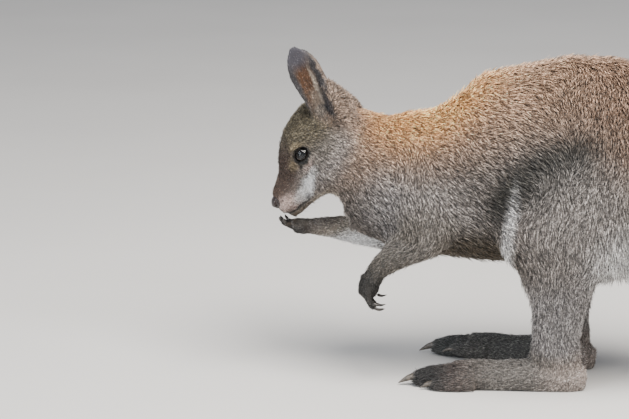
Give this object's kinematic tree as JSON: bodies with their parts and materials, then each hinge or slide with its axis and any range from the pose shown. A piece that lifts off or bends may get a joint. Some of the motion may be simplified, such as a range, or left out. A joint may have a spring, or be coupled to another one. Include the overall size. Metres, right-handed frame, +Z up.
{
  "type": "wallaby",
  "caption": "Life-size still model of a wallaby on its hind feet: arched furred back, tall ears, small forepaws, long hind feet and a thick tail along the floor.",
  "frame": {"origin": "on the floor, under the middle of the box that holds the animal", "axes": "+X towards the tip of the tail, +Y towards the animal's right side, +Z up; the head faces -X"},
  "size_m": [1.198, 0.2188, 0.3971],
  "materials": {
    "coat_body": "grizzled grey-brown fur, light tips over a darker under-coat",
    "coat_neck": "rufous brown fur",
    "coat_head": "short grizzled dark brown fur",
    "coat_throat": "pale buff fur",
    "coat_limb": "pale grey-brown fur",
    "coat_tail": "grey-brown fur darkening to the tip",
    "ear": "thin velvety skin with short dark fur and paler hairs inside",
    "paw": "short black-brown fur",
    "foot_fur": "short close grey-brown fur, darker on the toes",
    "claw": "dark polished horn",
    "toe_claw": "grey-brown horn",
    "nose": "damp black nose skin",
    "eye": "wet, nearly black eye"
  },
  "bodies": {
    "root": {"ear_left": "ear", "ear_right": "ear", "eye_left": "eye", "eye_right": "eye", "foot_left": "foot_fur", "foot_right": "foot_fur", "forearm_left": "coat_limb", "forearm_right": "coat_limb", "hand_claw_1_left": "claw", "hand_claw_1_right": "claw", "hand_claw_2_left": "claw", "hand_claw_2_right": "claw", "hand_claw_3_left": "claw", "hand_claw_3_right": "claw", "hand_claw_4_left": "claw", "hand_claw_4_right": "claw", "hand_claw_5_left": "claw", "hand_claw_5_right": "claw", "hand_left": "paw", "hand_right": "paw", "head": "coat_head", "lower_jaw": "coat_throat", "neck": "coat_neck", "nose": "nose", "shin_left": "coat_limb", "shin_right": "coat_limb", "tail_end": "coat_tail", "tail_middle": "coat_body", "tail_root": "coat_body", "thigh_left": "coat_body", "thigh_right": "coat_body", "toe_claw_fifth_left": "toe_claw", "toe_claw_fifth_right": "toe_claw", "toe_claw_fourth_left": "toe_claw", "toe_claw_fourth_right": "toe_claw", "toe_claw_second_left": "toe_claw", "toe_claw_second_right": "toe_claw", "toe_claw_third_left": "toe_claw", "toe_claw_third_right": "toe_claw", "trunk": "coat_body", "upper_arm_left": "coat_limb", "upper_arm_right": "coat_limb"}
  },
  "joints": []
}
